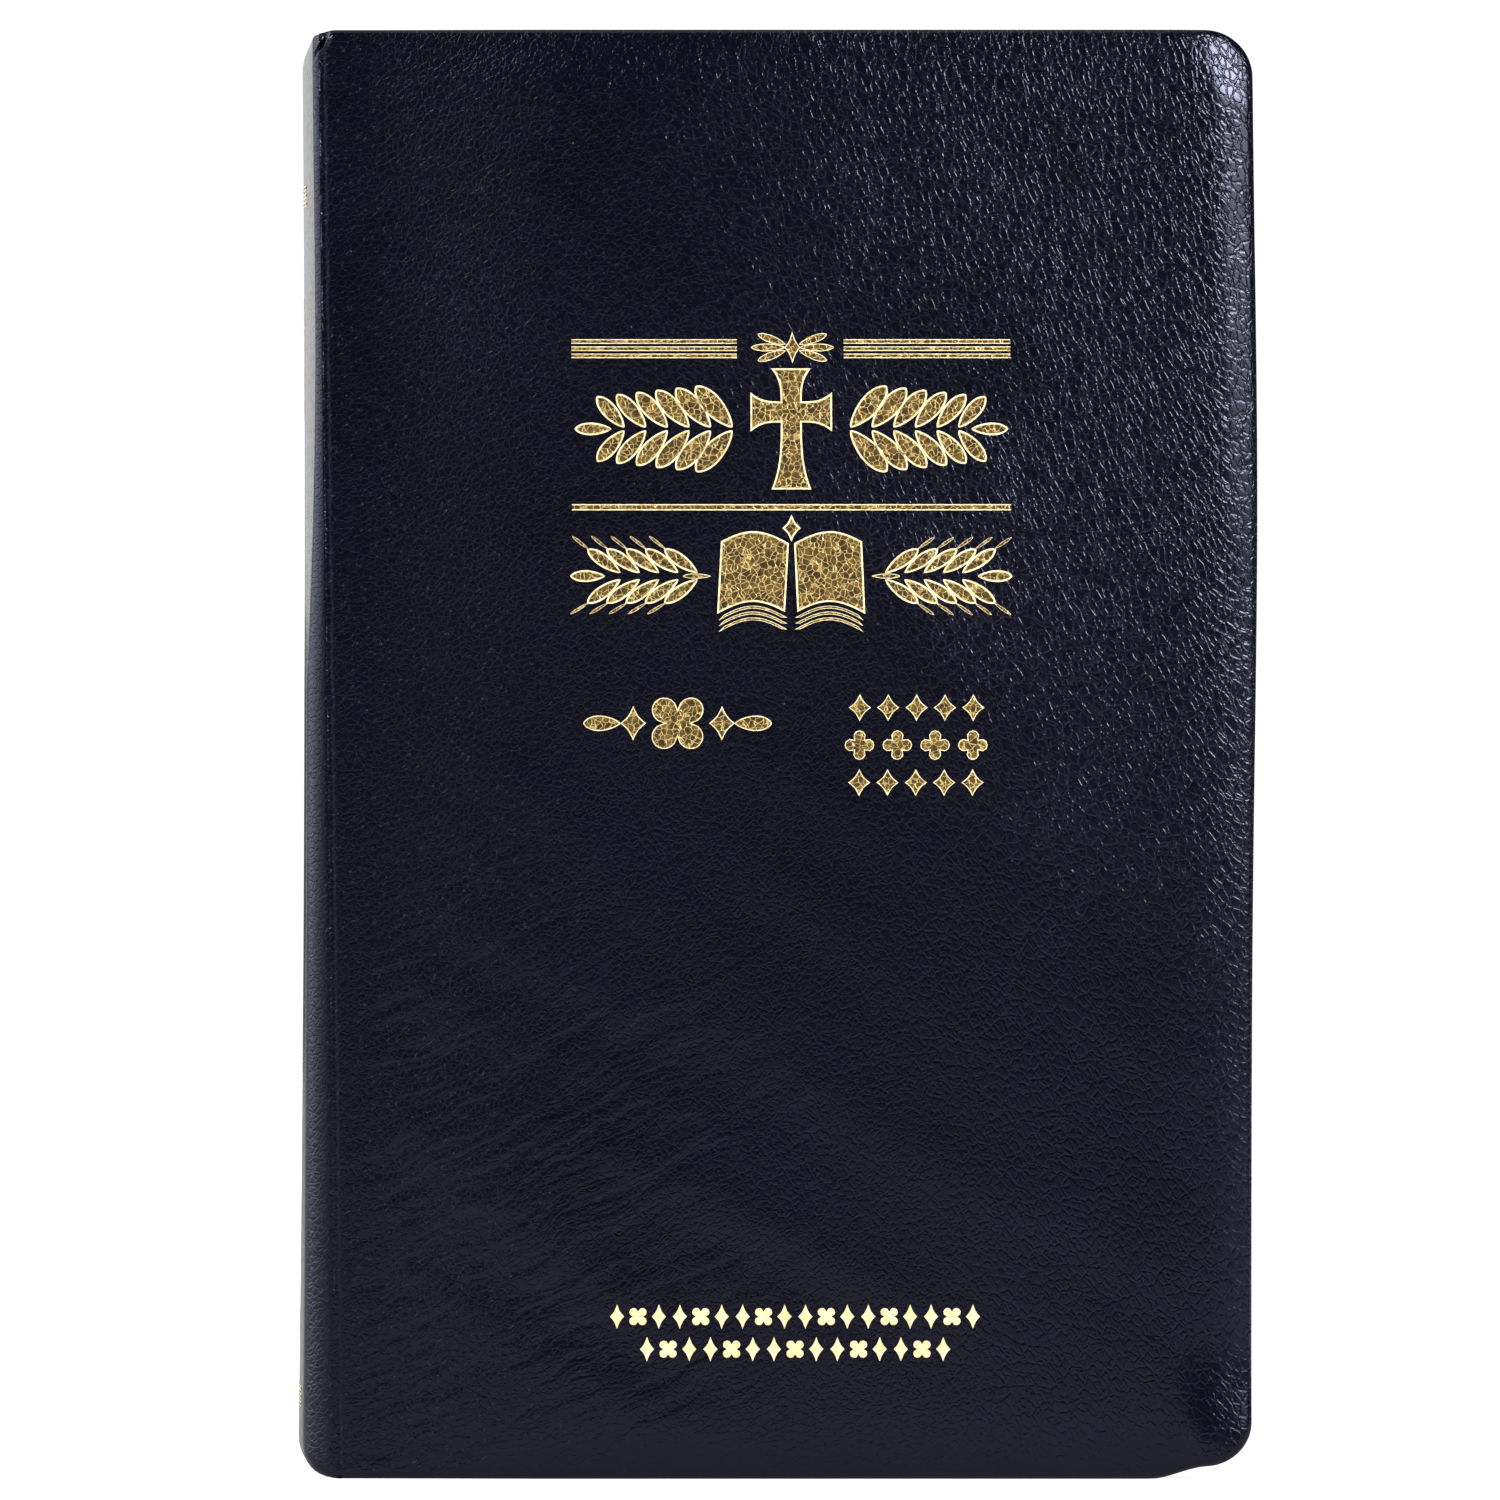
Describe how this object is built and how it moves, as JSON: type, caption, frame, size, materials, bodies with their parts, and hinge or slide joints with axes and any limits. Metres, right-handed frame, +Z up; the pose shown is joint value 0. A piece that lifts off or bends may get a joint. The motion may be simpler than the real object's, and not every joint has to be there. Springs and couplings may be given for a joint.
{
  "type": "bible",
  "caption": "Closed leather-bound bible with a limp dark blue cover, rounded spine, gilt page edges and gold-stamped rules; both covers open and the leaves fan.",
  "frame": {"origin": "middle of the tail face of the closed book, on the surface it stands on", "axes": "+Z up towards the head, -Y out of the front cover, -X out of the spine, +X out of the fore edge"},
  "size_m": [0.155, 0.042, 0.236],
  "materials": {
    "leather": "semi-gloss, fine pebble grain, navy black",
    "board": "matte flexible card",
    "endpaper": "matte heavy paper",
    "leaves": "thin bible paper with gilt edges",
    "kraft": "matte kraft paper",
    "mull": "open cotton scrim",
    "thread": "linen thread",
    "band": "woven gold and navy silk"
  },
  "bodies": {
    "spine": {"spine_leather": "leather", "spine_inlay": "board", "hollow_tube": "kraft", "mull": "mull", "sewn_folds": "leaves", "sewing_thread_1": "thread", "sewing_thread_2": "thread", "sewing_thread_3": "thread", "sewing_thread_4": "thread", "sewing_thread_5": "thread", "head_band": "band", "tail_band": "band"},
    "front_cover": {"front_cover_leather": "leather", "front_cover_board": "board", "front_pastedown": "endpaper"},
    "back_cover": {"back_cover_leather": "leather", "back_cover_board": "board", "back_pastedown": "endpaper"},
    "front_flyleaf": {"front_flyleaf": "endpaper"},
    "back_flyleaf": {"back_flyleaf": "endpaper"},
    "section_01": {"section_01": "leaves"},
    "section_02": {"section_02": "leaves"},
    "section_03": {"section_03": "leaves"},
    "section_04": {"section_04": "leaves"},
    "section_05": {"section_05": "leaves"},
    "section_06": {"section_06": "leaves"},
    "section_07": {"section_07": "leaves"},
    "section_08": {"section_08": "leaves"},
    "section_09": {"section_09": "leaves"},
    "section_10": {"section_10": "leaves"},
    "section_11": {"section_11": "leaves"},
    "section_12": {"section_12": "leaves"},
    "section_13": {"section_13": "leaves"},
    "section_14": {"section_14": "leaves"},
    "section_15": {"section_15": "leaves"},
    "section_16": {"section_16": "leaves"},
    "section_17": {"section_17": "leaves"},
    "section_18": {"section_18": "leaves"},
    "section_19": {"section_19": "leaves"},
    "section_20": {"section_20": "leaves"},
    "section_21": {"section_21": "leaves"},
    "section_22": {"section_22": "leaves"},
    "section_23": {"section_23": "leaves"},
    "section_24": {"section_24": "leaves"},
    "section_25": {"section_25": "leaves"},
    "section_26": {"section_26": "leaves"},
    "section_27": {"section_27": "leaves"},
    "section_28": {"section_28": "leaves"},
    "section_29": {"section_29": "leaves"},
    "section_30": {"section_30": "leaves"},
    "section_31": {"section_31": "leaves"},
    "section_32": {"section_32": "leaves"}
  },
  "joints": [
    {"name": "front_cover_hinge", "type": "hinge", "parent": "spine", "child": "front_cover", "pos_m": [-0.0705, -0.0212, 0.118], "axis": [0, 0, -1], "range_deg": [0, 178]},
    {"name": "front_flyleaf_turn", "type": "hinge", "parent": "spine", "child": "front_flyleaf", "pos_m": [-0.0705, -0.0212, 0.118], "axis": [0, 0, -1], "range_deg": [0, 142.4]},
    {"name": "section_01_turn", "type": "hinge", "parent": "spine", "child": "section_01", "pos_m": [-0.0695, -0.01825, 0.118], "axis": [0, 0, -1], "range_deg": [0, 86.22]},
    {"name": "section_02_turn", "type": "hinge", "parent": "spine", "child": "section_02", "pos_m": [-0.0695, -0.01825, 0.118], "axis": [0, 0, -1], "range_deg": [0, 80.66]},
    {"name": "section_03_turn", "type": "hinge", "parent": "spine", "child": "section_03", "pos_m": [-0.0695, -0.01825, 0.118], "axis": [0, 0, -1], "range_deg": [0, 75.09]},
    {"name": "section_04_turn", "type": "hinge", "parent": "spine", "child": "section_04", "pos_m": [-0.0695, -0.01825, 0.118], "axis": [0, 0, -1], "range_deg": [0, 69.53]},
    {"name": "section_05_turn", "type": "hinge", "parent": "spine", "child": "section_05", "pos_m": [-0.0695, -0.01825, 0.118], "axis": [0, 0, -1], "range_deg": [0, 63.97]},
    {"name": "section_06_turn", "type": "hinge", "parent": "spine", "child": "section_06", "pos_m": [-0.0695, -0.01825, 0.118], "axis": [0, 0, -1], "range_deg": [0, 58.41]},
    {"name": "section_07_turn", "type": "hinge", "parent": "spine", "child": "section_07", "pos_m": [-0.0695, -0.01825, 0.118], "axis": [0, 0, -1], "range_deg": [0, 52.84]},
    {"name": "section_08_turn", "type": "hinge", "parent": "spine", "child": "section_08", "pos_m": [-0.0695, -0.01825, 0.118], "axis": [0, 0, -1], "range_deg": [0, 47.28]},
    {"name": "section_09_turn", "type": "hinge", "parent": "spine", "child": "section_09", "pos_m": [-0.0695, -0.01825, 0.118], "axis": [0, 0, -1], "range_deg": [0, 41.72]},
    {"name": "section_10_turn", "type": "hinge", "parent": "spine", "child": "section_10", "pos_m": [-0.0695, -0.01825, 0.118], "axis": [0, 0, -1], "range_deg": [0, 36.16]},
    {"name": "section_11_turn", "type": "hinge", "parent": "spine", "child": "section_11", "pos_m": [-0.0695, -0.01825, 0.118], "axis": [0, 0, -1], "range_deg": [0, 30.59]},
    {"name": "section_12_turn", "type": "hinge", "parent": "spine", "child": "section_12", "pos_m": [-0.0695, -0.01825, 0.118], "axis": [0, 0, -1], "range_deg": [0, 25.03]},
    {"name": "section_13_turn", "type": "hinge", "parent": "spine", "child": "section_13", "pos_m": [-0.0695, -0.01825, 0.118], "axis": [0, 0, -1], "range_deg": [0, 19.47]},
    {"name": "section_14_turn", "type": "hinge", "parent": "spine", "child": "section_14", "pos_m": [-0.0695, -0.01825, 0.118], "axis": [0, 0, -1], "range_deg": [0, 13.91]},
    {"name": "section_15_turn", "type": "hinge", "parent": "spine", "child": "section_15", "pos_m": [-0.0695, -0.01825, 0.118], "axis": [0, 0, -1], "range_deg": [0, 8.34]},
    {"name": "section_16_turn", "type": "hinge", "parent": "spine", "child": "section_16", "pos_m": [-0.0695, -0.01825, 0.118], "axis": [0, 0, -1], "range_deg": [0, 2.78]},
    {"name": "back_cover_hinge", "type": "hinge", "parent": "spine", "child": "back_cover", "pos_m": [-0.0705, 0.0212, 0.118], "axis": [0, 0, 1], "range_deg": [0, 178]},
    {"name": "back_flyleaf_turn", "type": "hinge", "parent": "spine", "child": "back_flyleaf", "pos_m": [-0.0705, 0.0212, 0.118], "axis": [0, 0, 1], "range_deg": [0, 142.4]},
    {"name": "section_32_turn", "type": "hinge", "parent": "spine", "child": "section_32", "pos_m": [-0.0695, 0.01825, 0.118], "axis": [0, 0, 1], "range_deg": [0, 86.22]},
    {"name": "section_31_turn", "type": "hinge", "parent": "spine", "child": "section_31", "pos_m": [-0.0695, 0.01825, 0.118], "axis": [0, 0, 1], "range_deg": [0, 80.66]},
    {"name": "section_30_turn", "type": "hinge", "parent": "spine", "child": "section_30", "pos_m": [-0.0695, 0.01825, 0.118], "axis": [0, 0, 1], "range_deg": [0, 75.09]},
    {"name": "section_29_turn", "type": "hinge", "parent": "spine", "child": "section_29", "pos_m": [-0.0695, 0.01825, 0.118], "axis": [0, 0, 1], "range_deg": [0, 69.53]},
    {"name": "section_28_turn", "type": "hinge", "parent": "spine", "child": "section_28", "pos_m": [-0.0695, 0.01825, 0.118], "axis": [0, 0, 1], "range_deg": [0, 63.97]},
    {"name": "section_27_turn", "type": "hinge", "parent": "spine", "child": "section_27", "pos_m": [-0.0695, 0.01825, 0.118], "axis": [0, 0, 1], "range_deg": [0, 58.41]},
    {"name": "section_26_turn", "type": "hinge", "parent": "spine", "child": "section_26", "pos_m": [-0.0695, 0.01825, 0.118], "axis": [0, 0, 1], "range_deg": [0, 52.84]},
    {"name": "section_25_turn", "type": "hinge", "parent": "spine", "child": "section_25", "pos_m": [-0.0695, 0.01825, 0.118], "axis": [0, 0, 1], "range_deg": [0, 47.28]},
    {"name": "section_24_turn", "type": "hinge", "parent": "spine", "child": "section_24", "pos_m": [-0.0695, 0.01825, 0.118], "axis": [0, 0, 1], "range_deg": [0, 41.72]},
    {"name": "section_23_turn", "type": "hinge", "parent": "spine", "child": "section_23", "pos_m": [-0.0695, 0.01825, 0.118], "axis": [0, 0, 1], "range_deg": [0, 36.16]},
    {"name": "section_22_turn", "type": "hinge", "parent": "spine", "child": "section_22", "pos_m": [-0.0695, 0.01825, 0.118], "axis": [0, 0, 1], "range_deg": [0, 30.59]},
    {"name": "section_21_turn", "type": "hinge", "parent": "spine", "child": "section_21", "pos_m": [-0.0695, 0.01825, 0.118], "axis": [0, 0, 1], "range_deg": [0, 25.03]},
    {"name": "section_20_turn", "type": "hinge", "parent": "spine", "child": "section_20", "pos_m": [-0.0695, 0.01825, 0.118], "axis": [0, 0, 1], "range_deg": [0, 19.47]},
    {"name": "section_19_turn", "type": "hinge", "parent": "spine", "child": "section_19", "pos_m": [-0.0695, 0.01825, 0.118], "axis": [0, 0, 1], "range_deg": [0, 13.91]},
    {"name": "section_18_turn", "type": "hinge", "parent": "spine", "child": "section_18", "pos_m": [-0.0695, 0.01825, 0.118], "axis": [0, 0, 1], "range_deg": [0, 8.34]},
    {"name": "section_17_turn", "type": "hinge", "parent": "spine", "child": "section_17", "pos_m": [-0.0695, 0.01825, 0.118], "axis": [0, 0, 1], "range_deg": [0, 2.78]}
  ],
  "couplings": [
    {"joint": "front_flyleaf_turn", "follows": "front_cover_hinge", "ratio": 0.8},
    {"joint": "section_01_turn", "follows": "front_cover_hinge", "ratio": 0.48438},
    {"joint": "section_02_turn", "follows": "front_cover_hinge", "ratio": 0.45312},
    {"joint": "section_03_turn", "follows": "front_cover_hinge", "ratio": 0.42188},
    {"joint": "section_04_turn", "follows": "front_cover_hinge", "ratio": 0.39062},
    {"joint": "section_05_turn", "follows": "front_cover_hinge", "ratio": 0.35938},
    {"joint": "section_06_turn", "follows": "front_cover_hinge", "ratio": 0.32812},
    {"joint": "section_07_turn", "follows": "front_cover_hinge", "ratio": 0.29688},
    {"joint": "section_08_turn", "follows": "front_cover_hinge", "ratio": 0.26562},
    {"joint": "section_09_turn", "follows": "front_cover_hinge", "ratio": 0.23438},
    {"joint": "section_10_turn", "follows": "front_cover_hinge", "ratio": 0.20312},
    {"joint": "section_11_turn", "follows": "front_cover_hinge", "ratio": 0.17188},
    {"joint": "section_12_turn", "follows": "front_cover_hinge", "ratio": 0.14062},
    {"joint": "section_13_turn", "follows": "front_cover_hinge", "ratio": 0.10938},
    {"joint": "section_14_turn", "follows": "front_cover_hinge", "ratio": 0.078125},
    {"joint": "section_15_turn", "follows": "front_cover_hinge", "ratio": 0.046875},
    {"joint": "section_16_turn", "follows": "front_cover_hinge", "ratio": 0.015625},
    {"joint": "back_flyleaf_turn", "follows": "back_cover_hinge", "ratio": 0.8},
    {"joint": "section_32_turn", "follows": "back_cover_hinge", "ratio": 0.48438},
    {"joint": "section_31_turn", "follows": "back_cover_hinge", "ratio": 0.45312},
    {"joint": "section_30_turn", "follows": "back_cover_hinge", "ratio": 0.42188},
    {"joint": "section_29_turn", "follows": "back_cover_hinge", "ratio": 0.39062},
    {"joint": "section_28_turn", "follows": "back_cover_hinge", "ratio": 0.35938},
    {"joint": "section_27_turn", "follows": "back_cover_hinge", "ratio": 0.32812},
    {"joint": "section_26_turn", "follows": "back_cover_hinge", "ratio": 0.29688},
    {"joint": "section_25_turn", "follows": "back_cover_hinge", "ratio": 0.26562},
    {"joint": "section_24_turn", "follows": "back_cover_hinge", "ratio": 0.23438},
    {"joint": "section_23_turn", "follows": "back_cover_hinge", "ratio": 0.20312},
    {"joint": "section_22_turn", "follows": "back_cover_hinge", "ratio": 0.17188},
    {"joint": "section_21_turn", "follows": "back_cover_hinge", "ratio": 0.14062},
    {"joint": "section_20_turn", "follows": "back_cover_hinge", "ratio": 0.10938},
    {"joint": "section_19_turn", "follows": "back_cover_hinge", "ratio": 0.078125},
    {"joint": "section_18_turn", "follows": "back_cover_hinge", "ratio": 0.046875},
    {"joint": "section_17_turn", "follows": "back_cover_hinge", "ratio": 0.015625}
  ]
}
